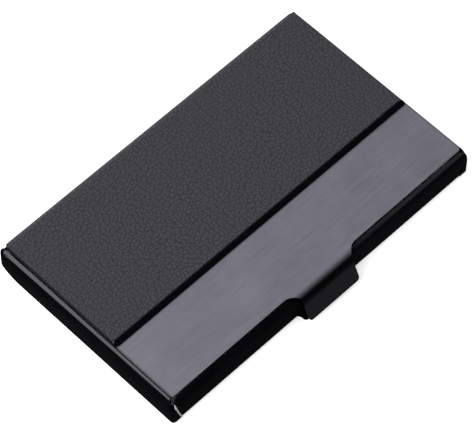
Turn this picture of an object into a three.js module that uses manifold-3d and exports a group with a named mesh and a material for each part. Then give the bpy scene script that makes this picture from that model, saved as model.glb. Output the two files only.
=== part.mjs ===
// Slim hinged business card case: a stamped black tray with two end walls, a brushed
// lid with a thumb tab and a leather panel, and a card plate that rises with the lid.
// Millimetres, +Z up, +X along the length, the lid opens at the front (-Y) and turns
// about the hinge at the rear (+Y). The origin is the middle of the footprint.
import * as THREE from 'three';
import { mergeVertices } from 'three/addons/utils/BufferGeometryUtils.js';
import Module from 'manifold-3d';

const wasm = await Module();
wasm.setup();

// Driving dimensions.
const CASE_HALF = 48.0;        // outer face of each end wall
const LID_HALF = 46.5;         // half length of the lid plate
const LID_FRONT = -25.3;       // front edge of the lid plate
const LID_REAR = 29.7;         // rearmost line of the lid's rolled edge
const LID_TOP = 8.9;           // upper face of the lid plate
const RIM_TOP = 8.5;           // top of the tray walls, a little below the lid's face
const SHEET = 0.5;             // thickness of the tray and lid sheet
const ROLL = 1.9;              // outer radius of the lid's rolled rear edge
const HINGE_Y = LID_REAR - ROLL;
const HINGE_Z = LID_TOP - ROLL;
const LID_GAP = 0.3;           // clearance ahead of the lid plate
const SIDE_GAP = 0.18;         // clearance at each end of the lid plate
const SEAM = 0.03;             // clearance between pieces that are fixed to each other
const MITRE = 60;              // length that is safely larger than the case

// Tray.
const FRONT_SWELL = 1.75;      // how far the front wall stands ahead of the lid
const SHOULDER = 2.3;          // height of the rounded shoulder at the top of the front wall
const END_SHOULDER = 4.3;      // height over which each end wall leans in towards the lid
const REAR_SHOULDER = 1.5;     // rounding of the end walls' upper rear corners
const FRONT_HEEL = 1.1;        // rounding between front wall and floor
const SIDE_HEEL = 0.8;         // rounding between end wall and floor
const TAIL_LENGTH = 12.0;      // stretch over which the floor rises to the rear
const TAIL_RISE = 4.3;
const TRAY_REAR = 30.0;
const REAR_LIP_TOP = 4.2;
const EAR = 0.18;              // end wall's front ear, lapped over the front wall
const CORNER_FRONT = 1.6;      // corner roundings seen from above
const CORNER_REAR = 1.2;
const CORNER_DIP = [0.4, 2.1]; // corner rims: drop below the lid's face, and slope of the dip
const LOWER_LIP = 2.0;         // thumb rest ahead of the front wall
const LOWER_LIP_FILLET = 1.6;

// Lid.
const TAB_HALF = 8.0;
const TAB_ROOT = [3.5, 2.5];   // fillets where the tab leaves the plate, across and forward
const LID_CORNER = 0.9;
const TAB_LEAD = 1.0;          // flat run of the tab before it bends
const TAB_BEND = 1.8;          // outer radius of the tab's bend
const TAB_ANGLE = 67;          // degrees that the tab is bent down
const TAB_DROP = 7.25;         // tip of the tab below the lid's face
const NOTCH_GAP = 0.35;
const NOTCH_DEPTH = 3.4;
const NOTCH_SHOULDER = 3.2;
const ROLL_END = -45;          // where the rolled edge stops, degrees from the rear
const TRIM_FRONT = LID_FRONT + 17.62;
const TRIM_WIDTH = 1.43;
const TRIM_HEIGHT = 0.42;
const LEATHER_FRONT = LID_FRONT + 19.2;
const BACKING = 0.2;           // board under the leather
const LEATHER = 0.26;
const LAYER_GAP = 0.02;
const LEATHER_INSET = 0.16;
const BACKING_INSET = 0.05;
const WRAP_END = 15;           // where the leather stops on the rolled edge, degrees

// Hinge and card plate.
const PIN_R = 0.6;
const PIN_HOLE_R = 0.66;
const PIN_HEAD_R = 1.0;
const PIN_END = 47.55;         // outer end of each pin, flush with the leaning wall
const LID_EAR = [45.95, 46.4];
const PLATE_EAR = [45.15, 45.55];
const WASHER = [46.42, 46.58];
const WASHER_R = 1.3;
const PLATE_EAR_R = 1.15;
const PLATE_SHEET = 0.4;
const PLATE_FLOOR = 1.75;      // underside of the card plate when the case is shut
const PLATE_FRONT = -24.9;
const THUMB_NOTCH = 8.5;       // radius of the finger cut-out in the card plate

const ARC_STEPS = 8;
const radians = THREE.MathUtils.degToRad;

const metal = (color, roughness) => new THREE.MeshStandardMaterial({ color, roughness, metalness: 1 });
const plain = (color, roughness) => new THREE.MeshStandardMaterial({ color, roughness, metalness: 0 });

/** Points of an elliptical arc about (u, v), angles in degrees, both ends included. */
function arc(u, v, ru, rv, from, to, steps = ARC_STEPS) {
  return Array.from({ length: steps + 1 }, (_, i) => {
    const a = radians(from + ((to - from) * i) / steps);
    return [u + ru * Math.cos(a), v + rv * Math.sin(a)];
  });
}

/** A THREE geometry as a manifold solid. */
function solid(geometry) {
  const bare = geometry.index ? geometry.toNonIndexed() : geometry.clone();
  bare.deleteAttribute('normal');
  bare.deleteAttribute('uv');
  const merged = mergeVertices(bare, 1e-5);
  return new wasm.Manifold(new wasm.Mesh({
    numProp: 3,
    vertProperties: new Float32Array(merged.attributes.position.array),
    triVerts: new Uint32Array(merged.index.array),
  }));
}

/** Straight extrusion of an outline: axis 'x' takes (y, z), 'y' takes (x, z), 'z' takes (x, y). */
function extrude(axis, outline, from, to) {
  const shape = new THREE.Shape(outline.map(([u, v]) => new THREE.Vector2(u, v)));
  const geometry = new THREE.ExtrudeGeometry(shape, { depth: to - from, bevelEnabled: false });
  const basis = new THREE.Matrix4();
  if (axis === 'x') {
    basis.makeBasis(new THREE.Vector3(0, 1, 0), new THREE.Vector3(0, 0, 1), new THREE.Vector3(1, 0, 0));
    geometry.applyMatrix4(basis.setPosition(from, 0, 0));
  } else if (axis === 'y') {
    basis.makeBasis(new THREE.Vector3(1, 0, 0), new THREE.Vector3(0, 0, 1), new THREE.Vector3(0, -1, 0));
    geometry.applyMatrix4(basis.setPosition(0, to, 0));
  } else {
    geometry.applyMatrix4(basis.setPosition(0, 0, from));
  }
  return solid(geometry);
}

/** The largest connected body of a solid, without the crumbs that a cut can leave. */
const largest = (body) => body.decompose().reduce((a, b) => (b.volume() > a.volume() ? b : a));
const block = (x0, x1, y0, y1, z0, z1) => extrude('z', [[x0, y0], [x1, y0], [x1, y1], [x0, y1]], z0, z1);
const disc = (r, [x0, x1], steps = 24) =>
  extrude('x', arc(HINGE_Y, HINGE_Z, r, r, 0, 360 - 360 / steps, steps - 1), x0, x1);
const mirrored = (outline) => [...outline, ...outline.map(([u, v]) => [-u, v]).reverse()];

/** Tray seen from its end of the case: (y, z), its sheet's inner face at inset = SHEET. */
function sideOutline(inset, swell, open) {
  const lipY = LID_FRONT - LID_GAP;
  const frontY = LID_FRONT - swell + inset;
  const front = arc(lipY, RIM_TOP - SHOULDER, lipY - frontY, SHOULDER - inset, 90, 180);
  const heel = FRONT_HEEL - inset;
  const floor = arc(frontY + heel, inset + heel, heel, heel, 180, 270);
  const tail = arc(TRAY_REAR - TAIL_LENGTH, TAIL_RISE, TAIL_LENGTH - inset, TAIL_RISE - inset, 270, 360, 14);
  const turn = REAR_SHOULDER;
  const back = arc(TRAY_REAR - inset - turn, RIM_TOP - turn, turn, turn, 0, 90);
  const top = open ? [[TRAY_REAR - inset, MITRE], [lipY, MITRE]] : back;
  return [...front, ...floor, ...tail, ...top];
}

/** Tray seen from the front: (x, z). Each end wall leans in over its upper half. */
function endOutline(inset, open) {
  const lipX = LID_HALF + SIDE_GAP;
  const face = CASE_HALF - inset;
  const heel = SIDE_HEEL - inset;
  const lean = new THREE.CubicBezierCurve(
    new THREE.Vector2(face, RIM_TOP - END_SHOULDER),
    new THREE.Vector2(face - 0.05, RIM_TOP - END_SHOULDER * 0.53),
    new THREE.Vector2(lipX + 0.35 - inset, RIM_TOP - 0.15),
    new THREE.Vector2(lipX - inset, RIM_TOP),
  ).getPoints(10).map((p) => [p.x, p.y]);
  const kept = lean.filter(([x]) => x > lipX + 0.03);
  const right = [
    ...arc(face - heel, inset + heel, heel, heel, 270, 360),
    ...kept,
    [lipX, open ? MITRE : RIM_TOP],
  ];
  return mirrored(right);
}

/** Tray seen from above: (x, y). */
function planOutline(inset, swell) {
  const x = CASE_HALF - inset;
  const front = LID_FRONT - swell + inset;
  const rear = TRAY_REAR - inset;
  const rf = CORNER_FRONT - inset;
  const rr = CORNER_REAR - inset;
  return mirrored([
    ...arc(x - rf, front + rf, rf, rf, 270, 360),
    ...arc(x - rr, rear - rr, rr, rr, 0, 90),
  ]);
}

function envelope(inset, swell, open = false) {
  return extrude('x', sideOutline(inset, swell, open), -MITRE, MITRE)
    .intersect(extrude('y', endOutline(inset, open), -MITRE, MITRE))
    .intersect(extrude('z', planOutline(inset, swell), -1, MITRE + 1));
}

/** Where the left end wall begins: the flat wall, and the shoulder that leans in over the tray. */
function endRegion(clearance) {
  const wall = CASE_HALF - SHEET - SEAM - clearance;
  const lean = LID_HALF + SIDE_GAP / 2 - clearance;
  const above = RIM_TOP - END_SHOULDER + 0.5 - clearance;
  return block(-MITRE, -wall, -MITRE, MITRE, -1, MITRE)
    .add(block(-MITRE, -lean, LID_FRONT - LID_GAP - clearance, MITRE, above, MITRE));
}

/** Notch for the thumb tab: wide round shoulders that narrow to the tab's width. */
function notch() {
  const half = TAB_HALF + NOTCH_GAP;
  const r = NOTCH_SHOULDER;
  const foot = 0.6;
  const outline = mirrored([
    ...arc(half - foot, RIM_TOP - NOTCH_DEPTH + foot, foot, foot, 270, 360, 4),
    ...arc(half + r, RIM_TOP - r, r, r, 180, 90),
    [half + r, MITRE],
  ]);
  return extrude('y', outline, -MITRE, LID_FRONT + 2);
}

/** Thumb rest: a flat tongue of the floor ahead of the front wall, with filleted roots. */
function lowerLip() {
  const front = LID_FRONT - FRONT_SWELL;
  const root = front + FRONT_HEEL * 0.6;
  const tip = 0.8;
  const fillet = LOWER_LIP_FILLET;
  const outline = mirrored([
    ...arc(TAB_HALF - tip, front - LOWER_LIP + tip, tip, tip, 270, 360, 5),
    ...arc(TAB_HALF + fillet, root - fillet, fillet, fillet, 180, 90, 5),
    [TAB_HALF + fillet, front + FRONT_HEEL],
  ]);
  return extrude('z', outline, 0, SHEET);
}

/** What the dip at the two front corners removes: above a slope that falls towards the corner. */
function cornerDips() {
  const [drop, slope] = CORNER_DIP;
  const reach = 8;
  const foot = LID_TOP - drop;
  const wedge = extrude('x', [
    [-reach, foot - slope * reach], [reach, foot + slope * reach], [reach, MITRE], [-reach, MITRE],
  ], -MITRE, MITRE);
  const right = wedge.rotate([0, 0, 45]).translate([LID_HALF, LID_FRONT, 0]);
  return right.add(right.mirror([1, 0, 0]));
}

function baseShell() {
  const walls = envelope(0, FRONT_SWELL).subtract(envelope(SHEET, FRONT_SWELL, true));
  const rearOpening = block(-MITRE, MITRE, HINGE_Y - 8, MITRE, REAR_LIP_TOP, MITRE);
  return walls
    .subtract(endRegion(SEAM))
    .subtract(endRegion(SEAM).mirror([1, 0, 0]))
    .subtract(rearOpening)
    .subtract(notch())
    .subtract(cornerDips())
    .add(lowerLip());
}

/** Left end wall with its front ear, whose free edge slants inwards towards the floor. */
function endWall() {
  const swell = FRONT_SWELL + EAR;
  const outer = envelope(0, swell);
  const wall = outer.subtract(envelope(SHEET, FRONT_SWELL, true)).intersect(endRegion(0));
  const edge = new THREE.QuadraticBezierCurve(
    new THREE.Vector2(LID_HALF + 0.75, RIM_TOP),
    new THREE.Vector2(LID_HALF + 0.1, RIM_TOP * 0.5),
    new THREE.Vector2(LID_HALF - 1.5, 0.35),
  ).getPoints(ARC_STEPS).map((p) => [p.x, p.y]);
  const wedge = [...edge, [MITRE, 0.35], [MITRE, RIM_TOP]].map(([x, z]) => [-x, z]);
  const ear = outer
    .subtract(envelope(0, FRONT_SWELL + SEAM))
    .intersect(extrude('y', wedge, -MITRE, LID_FRONT));
  const hole = disc(PIN_HOLE_R, [-MITRE, MITRE]);
  return largest(wall.add(ear).subtract(hole).subtract(cornerDips()));
}

/** Lid seen from the end: flat plate and rolled rear edge; the tab is added in front. */
function lidPlate() {
  const flat = extrude('x', [
    [LID_FRONT, LID_TOP - SHEET], [HINGE_Y, LID_TOP - SHEET], [HINGE_Y, LID_TOP], [LID_FRONT, LID_TOP],
  ], -LID_HALF, LID_HALF);
  const roll = extrude('x', [
    ...arc(HINGE_Y, HINGE_Z, ROLL, ROLL, ROLL_END, 90.5, 14),
    ...arc(HINGE_Y, HINGE_Z, ROLL - SHEET, ROLL - SHEET, 90.5, ROLL_END, 14),
  ], -LID_HALF, LID_HALF);
  const r = LID_CORNER;
  const plan = extrude('z', mirrored([
    ...arc(LID_HALF - r, LID_FRONT + r, r, r, 270, 360, 5),
    [LID_HALF, MITRE],
  ]), -1, MITRE);
  const ears = disc(ROLL - 0.01, LID_EAR).add(disc(ROLL - 0.01, [-LID_EAR[1], -LID_EAR[0]]));
  return flat.add(roll).intersect(plan).add(ears).add(tab()).subtract(disc(PIN_HOLE_R, [-MITRE, MITRE]));
}

/** Thumb tab: runs out through the notch, bends down and flares away from the front wall. */
function tab() {
  const bendY = LID_FRONT - TAB_LEAD;
  const bend = (r) => arc(bendY, LID_TOP - TAB_BEND, r, r, 90, 90 + TAB_ANGLE);
  const outer = bend(TAB_BEND);
  const inner = bend(TAB_BEND - SHEET);
  const [endY, endZ] = outer[outer.length - 1];
  const a = radians(TAB_ANGLE);
  const run = (endZ - (LID_TOP - TAB_DROP)) / Math.sin(a);
  const step = (p, n) => [p[0] - n * Math.cos(a), p[1] - n * Math.sin(a)];
  const nose = SHEET / 2;
  const tip = step([endY, endZ], run - nose);
  const back = step(inner[inner.length - 1], run - nose);
  const centre = [(tip[0] + back[0]) / 2, (tip[1] + back[1]) / 2];
  const profile = [
    [LID_FRONT + 1, LID_TOP], ...outer,
    ...arc(centre[0], centre[1], nose, nose, 90 + TAB_ANGLE, 270 + TAB_ANGLE, 6),
    ...inner.reverse(), [LID_FRONT + 1, LID_TOP - SHEET],
  ];
  const r = 0.9;
  const tipZ = LID_TOP - TAB_DROP;
  const face = extrude('y', mirrored([
    ...arc(TAB_HALF - r, tipZ + r, r, r, 270, 360, 5),
    [TAB_HALF, LID_TOP - TAB_BEND * 1.2],
    [MITRE, LID_TOP - TAB_BEND * 1.2],
    [MITRE, MITRE],
  ]), -MITRE, MITRE);
  const [across, forward] = TAB_ROOT;
  const plan = extrude('z', mirrored([
    [TAB_HALF, -MITRE],
    ...arc(TAB_HALF + across, LID_FRONT - forward, across, forward, 180, 90),
    [TAB_HALF + across, LID_FRONT + 1],
  ]), -1, MITRE);
  const wide = TAB_HALF + across;
  return extrude('x', profile, -wide, wide).intersect(face).intersect(plan);
}

/** Sheet laid over the lid from frontY, round the rolled edge, between two heights. */
function lidLayer(frontY, low, high, half, corner) {
  const profile = [
    [frontY, LID_TOP + low],
    ...arc(HINGE_Y, HINGE_Z, ROLL + low, ROLL + low, 90, WRAP_END),
    ...arc(HINGE_Y, HINGE_Z, ROLL + high, ROLL + high, WRAP_END, 90),
    [frontY, LID_TOP + high],
  ];
  const plan = extrude('z', mirrored([
    ...arc(half - corner, frontY + corner, corner, corner, 270, 360, 4), [half, MITRE],
  ]), -1, MITRE);
  return extrude('x', profile, -half, half).intersect(plan);
}

/** Raised black bead between the brushed field and the leather, with round ends. */
function edgeTrim() {
  const r = TRIM_WIDTH / 2;
  const outline = mirrored([...arc(LID_HALF - r, TRIM_FRONT + r, r, r, -90, 90, 10)]);
  const crown = 0.15;
  const low = LID_TOP + LAYER_GAP;
  const high = LID_TOP + TRIM_HEIGHT;
  const profile = [
    [TRIM_FRONT, low], [TRIM_FRONT + TRIM_WIDTH, low], [TRIM_FRONT + TRIM_WIDTH, high - crown],
    [TRIM_FRONT + TRIM_WIDTH - crown, high], [TRIM_FRONT + crown, high], [TRIM_FRONT, high - crown],
  ];
  return extrude('z', outline, low, high).intersect(extrude('x', profile, -MITRE, MITRE));
}

/** Card plate: a flat floor with two arms that reach up to the hinge pins. */
function cardLifter() {
  const half = PLATE_EAR[1];
  const rear = HINGE_Y - 2.9;
  const top = PLATE_FLOOR + PLATE_SHEET;
  const r = 1.5;
  const outline = mirrored([
    ...arc(0, PLATE_FRONT, THUMB_NOTCH, THUMB_NOTCH, 90, 0, 10),
    ...arc(half - r, PLATE_FRONT + r, r, r, 270, 360, 5),
    [half, rear],
  ].slice(1));
  const floor = extrude('z', [[0, PLATE_FRONT + THUMB_NOTCH], ...outline], PLATE_FLOOR, top);
  const arm = [
    [HINGE_Y - 0.5, HINGE_Z + 0.9], [HINGE_Y - 3.4, HINGE_Z + 0.6], [HINGE_Y - 5.2, PLATE_FLOOR],
    [rear, PLATE_FLOOR], [HINGE_Y - 2.3, HINGE_Z - 0.9], [HINGE_Y - 0.6, HINGE_Z - 0.6],
  ];
  const ear = ([x0, x1]) => disc(PLATE_EAR_R, [x0, x1]).add(extrude('x', arm, x0, x1));
  return floor
    .add(ear(PLATE_EAR))
    .add(ear([-PLATE_EAR[1], -PLATE_EAR[0]]))
    .subtract(disc(PIN_HOLE_R, [-MITRE, MITRE]));
}

function hingePin(sign) {
  const span = (a, b) => (sign > 0 ? [a, b] : [-b, -a]);
  return disc(PIN_R, span(44.9, PIN_END)).add(disc(PIN_HEAD_R, span(44.8, 45.1)));
}

function springWasher(sign) {
  const span = sign > 0 ? WASHER : [-WASHER[1], -WASHER[0]];
  return disc(WASHER_R, span).subtract(disc(PIN_HOLE_R, [-MITRE, MITRE]));
}

function piece(name, body, material) {
  const { vertProperties, triVerts } = body.getMesh();
  const geometry = new THREE.BufferGeometry();
  geometry.setAttribute('position', new THREE.BufferAttribute(vertProperties, 3));
  geometry.setIndex(new THREE.BufferAttribute(triVerts, 1));
  geometry.computeVertexNormals();
  const mesh = new THREE.Mesh(geometry, material);
  mesh.name = name;
  return mesh;
}

const tray = new THREE.Group();
tray.add(piece('base_shell', baseShell(), metal(0x0a0a0c, 0.3)));
tray.add(piece('end_wall_left', endWall(), metal(0x0b0b0d, 0.3)));
tray.add(piece('end_wall_right', endWall().mirror([1, 0, 0]), metal(0x0b0b0d, 0.3)));
tray.add(piece('hinge_pin_left', hingePin(-1), metal(0x8c8c90, 0.35)));
tray.add(piece('hinge_pin_right', hingePin(1), metal(0x8c8c90, 0.35)));
tray.add(piece('spring_washer_left', springWasher(-1), metal(0x9a9a9e, 0.4)));
tray.add(piece('spring_washer_right', springWasher(1), metal(0x9a9a9e, 0.4)));

const lid = new THREE.Group();
lid.add(piece('lid_plate', lidPlate(), metal(0x71717b, 0.38)));
lid.add(piece('edge_trim', edgeTrim(), plain(0x060608, 0.3)));
const boardTop = LAYER_GAP + BACKING;
const leatherLow = boardTop + LAYER_GAP;
lid.add(piece('leather_backing',
  lidLayer(LEATHER_FRONT + 0.05, LAYER_GAP, boardTop, LID_HALF - BACKING_INSET, 0.8),
  plain(0x080808, 0.8)));
lid.add(piece('leather_panel',
  lidLayer(LEATHER_FRONT, leatherLow, leatherLow + LEATHER, LID_HALF - LEATHER_INSET, 0.7),
  plain(0x414046, 0.62)));

const lifter = new THREE.Group();
lifter.add(piece('card_lifter', cardLifter(), metal(0xb4b4b8, 0.35)));

const cardCase = new THREE.Group();
cardCase.add(tray, lid, lifter);

export default cardCase;
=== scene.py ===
"""Slim hinged card case: every visible piece, its finish, the light and the camera.

Sizes are in millimetres and become metres where a mesh is made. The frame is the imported
model's own: +X along the length, +Y towards the hinge, +Z up out of the lid.
"""

import logging
import math
from dataclasses import dataclass, field
from enum import Enum
from typing import Any, Callable, Sequence

import bmesh
import bpy
from mathutils import Matrix, Vector
from mathutils.geometry import delaunay_2d_cdt


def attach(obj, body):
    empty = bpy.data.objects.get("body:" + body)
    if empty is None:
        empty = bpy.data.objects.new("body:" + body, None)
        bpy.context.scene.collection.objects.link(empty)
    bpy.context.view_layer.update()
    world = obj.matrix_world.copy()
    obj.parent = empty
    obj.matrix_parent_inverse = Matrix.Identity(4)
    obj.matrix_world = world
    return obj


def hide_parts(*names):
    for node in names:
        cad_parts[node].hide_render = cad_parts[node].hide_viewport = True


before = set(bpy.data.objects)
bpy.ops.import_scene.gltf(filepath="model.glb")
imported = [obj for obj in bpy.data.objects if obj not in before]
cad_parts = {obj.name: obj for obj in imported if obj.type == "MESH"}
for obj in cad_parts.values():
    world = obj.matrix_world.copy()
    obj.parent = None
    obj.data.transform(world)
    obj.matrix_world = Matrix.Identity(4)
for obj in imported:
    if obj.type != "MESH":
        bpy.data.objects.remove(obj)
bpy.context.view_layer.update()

LOG = logging.getLogger("card_case")
MM = 0.001
Point = tuple[float, float]
Triple = tuple[float, float, float]
Colour = Triple
Placer = Callable[[float, float, float], Vector]

LID_HALF = 46.5
LID_FRONT = -25.3
LID_TOP = 8.9
LID_ROLL = 1.9
SHEET = 0.5
RIM_TOP = 8.5
HINGE = (27.8, 7.0)


class Body(str, Enum):
    """The moving bodies of the frame."""

    TRAY = "tray"
    LID = "lid"
    LIFTER = "lifter"


class Slot(str, Enum):
    """The record's material slots."""

    TRAY = "tray_black"
    WALL = "wall_black"
    PIN = "pin_steel"
    WASHER = "washer_steel"
    LID = "lid_steel"
    TRIM = "trim_black"
    BACKING = "backing_board"
    LEATHER = "panel_leather"
    PLATE = "plate_aluminium"


# ---------------------------------------------------------------- outlines and sheet metal


def arc(cu: float, cv: float, ru: float, rv: float, start: float, stop: float,
        steps: int = 24) -> list[Point]:
    """Points of an elliptical arc.

    Args:
        cu, cv: centre.
        ru, rv: radii along the two axes.
        start, stop: angles in degrees, both included.
        steps: number of chords.

    Returns:
        The points in order.
    """
    turn = [math.radians(start + (stop - start) * i / steps) for i in range(steps + 1)]
    return [(cu + ru * math.cos(a), cv + rv * math.sin(a)) for a in turn]


def mirrored(right: Sequence[Point]) -> list[Point]:
    """A closed outline from its right half, listed from one end on the axis to the other."""
    return [*right, *[(-u, v) for u, v in reversed(right)]]


def tidy(points: Sequence[Point], closed: bool, gap: float = 1e-4) -> list[Point]:
    """Points without repeats.

    Args:
        points: the points in order.
        closed: whether the last point joins the first.
        gap: distance below which two points are one.

    Returns:
        The points that remain.
    """
    kept: list[Point] = []
    for p in points:
        if not kept or math.dist(p, kept[-1]) > gap:
            kept.append(p)
    if closed and len(kept) > 1 and math.dist(kept[0], kept[-1]) <= gap:
        kept.pop()
    return kept


@dataclass
class BendLine:
    """The outer line of a bent sheet, seen along its bends.

    Attributes:
        points: the line, with the sheet's outside on its left.
        zero: index of the point where the developed length counts from nought.
    """

    points: list[Point]
    zero: int = 0
    stations: list[float] = field(init=False)

    def __post_init__(self) -> None:
        """Measures the developed length at each point."""
        run = [0.0]
        for a, b in zip(self.points, self.points[1:]):
            run.append(run[-1] + math.dist(a, b))
        self.stations = [s - run[self.zero] for s in run]

    def at(self, s: float, depth: float) -> Point:
        """The place at developed length s and depth under the outer line.

        Args:
            s: developed length.
            depth: distance under the outer face.

        Returns:
            The point in the line's own plane.
        """
        last = len(self.points) - 2
        i = 0
        while i < last and s > self.stations[i + 1]:
            i += 1
        span = self.stations[i + 1] - self.stations[i]
        t = (s - self.stations[i]) / span
        a, b = self.points[i], self.points[i + 1]
        na, nb = self._normal(i), self._normal(i + 1)
        k = min(max(t, 0.0), 1.0)
        n = (na[0] + (nb[0] - na[0]) * k, na[1] + (nb[1] - na[1]) * k)
        size = math.hypot(*n) or 1.0
        return (a[0] + (b[0] - a[0]) * t - n[0] / size * depth,
                a[1] + (b[1] - a[1]) * t - n[1] / size * depth)

    def _normal(self, i: int) -> Point:
        """Outward normal at one of the line's points.

        Args:
            i: index of the point.

        Returns:
            The unit normal.
        """
        a = self.points[max(i - 1, 0)]
        b = self.points[min(i + 1, len(self.points) - 1)]
        size = math.dist(a, b)
        return (-(b[1] - a[1]) / size, (b[0] - a[0]) / size)


@dataclass
class PressedSheet:
    """A blank of sheet with rounded edges, laid along a bend line.

    Attributes:
        outline: the blank's closed outline, (across, along).
        thickness: sheet thickness.
        rounding: radius of its edges.
        place: maps (across, along, depth) to a point in millimetres.
        folds: values of along at which the blank is divided.
        edge_steps: chords in each edge rounding.
    """

    outline: list[Point]
    thickness: float
    rounding: float
    place: Placer
    folds: Sequence[float] = ()
    edge_steps: int = 3

    def _mitres(self, loop: Sequence[Point]) -> list[Point]:
        """Outward offset direction at each point of a counter-clockwise loop.

        Args:
            loop: the loop's points.

        Returns:
            For each point, the way that moves both of its edges out by one.
        """
        found = []
        for i, p in enumerate(loop):
            a, b = loop[i - 1], loop[(i + 1) % len(loop)]
            da = Vector((p[0] - a[0], p[1] - a[1])).normalized()
            db = Vector((b[0] - p[0], b[1] - p[1])).normalized()
            na, nb = Vector((da.y, -da.x)), Vector((db.y, -db.x))
            mean = (na + nb).normalized() if (na + nb).length > 1e-6 else na
            found.append(tuple(mean / max(mean.dot(na), 0.35)))
        return found

    def _inset_loop(self) -> list[Point]:
        """The flat face's outline, divided where a fold crosses it.

        Returns:
            The outline, counter-clockwise.
        """
        loop = tidy(self.outline, True)
        area = sum(a[0] * b[1] - b[0] * a[1] for a, b in zip(loop, loop[1:] + loop[:1]))
        if area < 0:
            loop.reverse()
        ways = self._mitres(loop)
        loop = [(p[0] - m[0] * self.rounding, p[1] - m[1] * self.rounding)
                for p, m in zip(loop, ways)]
        divided: list[Point] = []
        for a, b in zip(loop, loop[1:] + loop[:1]):
            divided.append(a)
            low, high = sorted((a[1], b[1]))
            cuts = [f for f in self.folds if low + 1e-4 < f < high - 1e-4]
            for f in sorted(cuts, reverse=a[1] > b[1]):
                t = (f - a[1]) / (b[1] - a[1])
                divided.append((a[0] + (b[0] - a[0]) * t, f))
        return tidy(divided, True)

    def _rings(self) -> list[tuple[float, float]]:
        """(offset from the flat face's outline, depth) of each ring round the edge.

        Returns:
            The rings, from the upper face to the lower one.
        """
        r, t, n = self.rounding, self.thickness, self.edge_steps
        quarter = [math.radians(90 * i / n) for i in range(n + 1)]
        top = [(r * math.sin(a), r * (1 - math.cos(a))) for a in quarter]
        return top + [(o, t - d) for o, d in reversed(top)]

    def add_to(self, target: bmesh.types.BMesh) -> None:
        """Builds the sheet inside a mesh.

        Args:
            target: the mesh that the sheet is added to.
        """
        loop = self._inset_loop()
        ways = self._mitres(loop)
        span = max(abs(p[0]) for p in loop) + 5.0
        low, high = min(p[1] for p in loop), max(p[1] for p in loop)
        folds = [f for f in self.folds if low + 1e-4 < f < high - 1e-4]
        flat = [Vector(p) for p in loop]
        edges = [(i, (i + 1) % len(loop)) for i in range(len(loop))]
        for f in folds:
            flat += [Vector((-span, f)), Vector((span, f))]
            edges.append((len(flat) - 2, len(flat) - 1))
        points, _, faces, _, _, origin = delaunay_2d_cdt(
            flat, edges, [list(range(len(loop)))], 0, 1e-5, True)
        inside = [f for f, whence in zip(faces, origin) if whence]
        for depth, turned in ((0.0, False), (self.thickness, True)):
            corner = {}
            for face in inside:
                for i in face:
                    if i not in corner:
                        corner[i] = target.verts.new(self._at(points[i], depth))
                ring = [corner[i] for i in face]
                target.faces.new(list(reversed(ring)) if turned else ring)
        rows = []
        for offset, depth in self._rings():
            rows.append([
                target.verts.new(self._at((p[0] + m[0] * offset, p[1] + m[1] * offset), depth))
                for p, m in zip(loop, ways)])
        for upper, lower in zip(rows, rows[1:]):
            for i in range(len(loop)):
                j = (i + 1) % len(loop)
                target.faces.new((upper[i], lower[i], lower[j], upper[j]))

    def _at(self, p: Sequence[float], depth: float) -> Vector:
        """A point of the blank in metres."""
        return self.place(p[0], p[1], depth) * MM


def along_x(line: BendLine) -> Placer:
    """Placement for a sheet whose bends run along X.

    Args:
        line: the sheet's outer line.

    Returns:
        The placement.
    """
    def place(u: float, s: float, depth: float) -> Vector:
        """Maps (x, developed length, depth)."""
        y, z = line.at(s, depth)
        return Vector((u, y, z))
    return place


def flat_at(top: float) -> Placer:
    """Placement for a level sheet whose upper face is at a height."""
    return lambda u, v, depth: Vector((u, v, top - depth))


def upright_at(x: float, sign: float) -> Placer:
    """Placement for a plate in a plane of constant x, its outside facing sign * X."""
    return lambda u, v, depth: Vector((x - sign * depth, u, v))


def finished(name: str, mesh: bmesh.types.BMesh, smooth_below: float = 40.0) -> bpy.types.Object:
    """Turns a working mesh into an object with clean shading.

    Args:
        name: the piece's name.
        mesh: the working mesh, which is freed.
        smooth_below: edges sharper than this many degrees stay crisp.

    Returns:
        The new object, linked to the scene.
    """
    bmesh.ops.remove_doubles(mesh, verts=mesh.verts, dist=2e-7)
    bmesh.ops.dissolve_degenerate(mesh, dist=1e-7, edges=mesh.edges)
    bmesh.ops.recalc_face_normals(mesh, faces=mesh.faces)
    data = bpy.data.meshes.new(name)
    mesh.to_mesh(data)
    mesh.free()
    data.shade_smooth()
    data.set_sharp_from_angle(angle=math.radians(smooth_below))
    obj = bpy.data.objects.new(name, data)
    bpy.context.scene.collection.objects.link(obj)
    even = obj.modifiers.new("even_normals", "WEIGHTED_NORMAL")
    even.keep_sharp = True
    even.weight = 80
    return baked(obj)


def baked(obj: bpy.types.Object) -> bpy.types.Object:
    """The object with its modifiers turned into plain mesh data.

    Args:
        obj: the object whose modifiers are applied.

    Returns:
        The same object.
    """
    graph = bpy.context.evaluated_depsgraph_get()
    data = bpy.data.meshes.new_from_object(obj.evaluated_get(graph))
    data.name = obj.name
    obj.modifiers.clear()
    obj.data = data
    return obj


# ---------------------------------------------------------------- shader maths


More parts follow.
